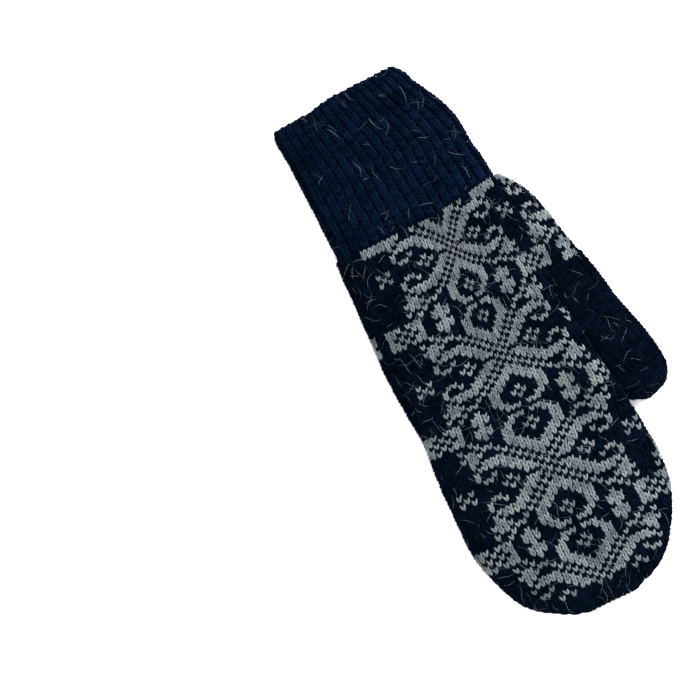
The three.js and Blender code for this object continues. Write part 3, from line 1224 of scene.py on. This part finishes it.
@dataclass
class LooseFibres:
    """Fine hairs of wool that stand out of the yarn all over the mitten, sized in millimetres."""

    name: str
    count: int
    length: tuple[float, float]
    thickness: float
    seed: int
    bends: int
    height: float = 1.2
    rises: tuple[float, float] = (0.4, 1.0)
    root_height: float = 0.75
    bend_spread: float = 0.55

    def hair(self) -> Template:
        """Models one hair: a thin closed strand of a few short lengths, tapering to its ends."""
        places = np.linspace(-0.5, 0.5, self.bends + 1)
        rings = [(0.0, float(place), 0.0, 1.15 - 3.4 * float(place) ** 2) for place in places]
        return Template.taken_from(strand(rings, 1.0, 1.0, 3))

    def build(self, roots: Places, material: bpy.types.Material, node: str, slot: str) -> bpy.types.Object:
        """Lays the hairs over stitches drawn at random and bends each along a curve of its own.

        Args:
            roots: The stitches that hairs may grow from.
            material: The hairs' finish.
            node: The solid that they stand for.
            slot: The record's material slot, which is not used.

        Returns:
            The piece.
        """
        draw = np.random.default_rng(self.seed)
        hair = self.hair()
        roots = roots.chosen(draw.integers(0, len(roots.middle), self.count))
        outward = roots.outward
        middle = roots.middle + swell(roots.middle)[:, None] * outward
        across = roots.across / np.linalg.norm(roots.across, axis=1, keepdims=True)
        turn = draw.random(self.count) * 2 * math.pi
        ahead = across * np.cos(turn)[:, None] + np.cross(across, outward) * np.sin(turn)[:, None]
        aside = np.cross(outward, ahead)
        length = draw.uniform(*self.length, self.count)
        bend = draw.normal(0.0, self.bend_spread, (self.count, 2)) * length[:, None]
        rise = draw.uniform(*self.rises, self.count)[:, None] * self.height
        across, t, up = (hair.vertices[:, axis] for axis in range(3))
        arch = self.root_height + rise * (0.5 - 1.2 * t**2 + 0.6 * t)
        curve = bend[:, :1] * t**2 + bend[:, 1:] * t**3 * 2.0
        vertices = (
            middle[:, None]
            + ahead[:, None] * (t * length[:, None])[:, :, None]
            + aside[:, None] * (curve + across * self.thickness)[:, :, None]
            + outward[:, None] * (arch + up * self.thickness)[:, :, None]
        )
        return dressed(joined_copies(self.name, vertices, hair, draw, LOWEST_HAIR), material, node)


@dataclass(frozen=True)
class Studio:
    """The pale floor, the soft light and the camera over the mitten."""

    picture_width: float = 0.3324
    centre: tuple[float, float] = (0.0716, -0.0241)
    lens: float = 150.0
    right: tuple[float, float] = (-0.9063, 0.4226)
    mitten_level: float = 0.010
    floor_colour: tuple[float, float, float, float] = (0.94, 0.945, 0.95, 1.0)
    sky_colour: tuple[float, float, float, float] = (0.95, 0.98, 1.0, 1.0)
    sky_strength: float = 0.75

    def floor(self) -> None:
        """Lays the floor."""
        bpy.ops.object.select_all(action="DESELECT")
        bpy.ops.mesh.primitive_plane_add(size=6.0, location=(0, 0, -0.0002))
        ground = bpy.context.object
        ground.name = "studio_floor"
        material = bpy.data.materials.new("pale_floor")
        material.use_nodes = True
        shader = material.node_tree.nodes["Principled BSDF"]
        with_inputs(shader, {"Base Color": self.floor_colour, "Roughness": 0.9, "Specular IOR Level": 0.1})
        ground.data.materials.append(material)

    def lamp(self, name: str, place: tuple[float, float, float], size: float, power: float) -> None:
        """Hangs one soft square lamp that faces the mitten.

        Args:
            name: The lamp's name.
            place: Where it hangs, in metres.
            size: The length of its sides.
            power: Its power in watts.
        """
        light = bpy.data.lights.new(name, "AREA")
        light.size = size
        light.energy = power
        lamp = bpy.data.objects.new(name, light)
        lamp.location = place
        lamp.rotation_euler = (-lamp.location).to_track_quat("-Z", "Y").to_euler()
        bpy.context.scene.collection.objects.link(lamp)

    def light(self) -> None:
        """Sets the soft light, strongest from the picture's upper right."""
        self.lamp("key_light", (-1.15, -0.35, 0.55), 0.7, 44.0)
        self.lamp("top_light", (0.3, 0.2, 1.6), 1.6, 32.0)
        world = bpy.data.worlds.new("studio_world")
        world.use_nodes = True
        sky = {"Color": self.sky_colour, "Strength": self.sky_strength}
        with_inputs(world.node_tree.nodes["Background"], sky)
        bpy.context.scene.world = world
        bpy.context.scene.view_settings.view_transform = "Standard"

    def camera(self) -> None:
        """Places the camera straight over the mitten, at the photo's turn."""
        data = bpy.data.cameras.new("camera")
        data.lens = self.lens
        data.sensor_width = 36.0
        data.clip_start = 0.01
        camera = bpy.data.objects.new("camera", data)
        distance = self.picture_width * self.lens / 36.0
        rx, ry = self.right
        turn = Matrix(((rx, -ry, 0.0), (ry, rx, 0.0), (0.0, 0.0, 1.0)))
        camera.matrix_world = Matrix.Translation((*self.centre, self.mitten_level + distance)) @ turn.to_4x4()
        bpy.context.scene.collection.objects.link(camera)
        bpy.context.scene.camera = camera

    def set_up(self) -> None:
        """Sets up floor, light and camera."""
        self.floor()
        self.light()
        self.camera()


def main() -> None:
    """Builds the mitten piece by piece."""
    logging.basicConfig(level=logging.INFO, format="%(name)s: %(message)s")
    Studio().set_up()
    wools = Wools.spun()
    stitch = Stitch().template()
    cuff, hand, thumb = RibbedCuff(), KnittedHand(), KnittedThumb()
    cuff.build(stitch, wools)
    hand.build(stitch, wools)
    thumb.build(stitch, wools)
    knit = hand.stitches()
    grey = hand.in_grey(knit)
    hairs = (
        ("ribbed_cuff", "navy_wool", cuff.places(False), 100),
        ("hand", "patterned_wool", knit, 950),
        ("thumb", "navy_wool", thumb.stitches(), 60),
    )
    for seed, (node, slot, roots, count) in enumerate(hairs, 50):
        hair = LooseFibres(f"{node}_hairs", count, (3.0, 10.0), 0.06, seed, 6)
        hair.build(roots, wools.hair, node, slot)
    fuzz = (
        ("ribbed_cuff_fuzz", "ribbed_cuff", "navy_wool", cuff.places(False), wools.navy, 1500),
        # The hand's navy fuzz and the thumb's fuzz take the darkened navy, which is painted shade
        ("hand_fuzz_navy", "hand", "patterned_wool", knit.chosen(~grey), wools.dark_navy, 4200),
        ("hand_fuzz_grey", "hand", "patterned_wool", knit.chosen(grey), wools.grey, 3600),
        ("thumb_fuzz", "thumb", "navy_wool", thumb.stitches(), wools.dark_navy, 1000),
    )
    for seed, (name, node, slot, roots, wool, count) in enumerate(fuzz, 60):
        LooseFibres(name, count, (1.4, 3.6), 0.07, seed, 2).build(roots, wool, node, slot)


if __name__ == "__main__":
    main()
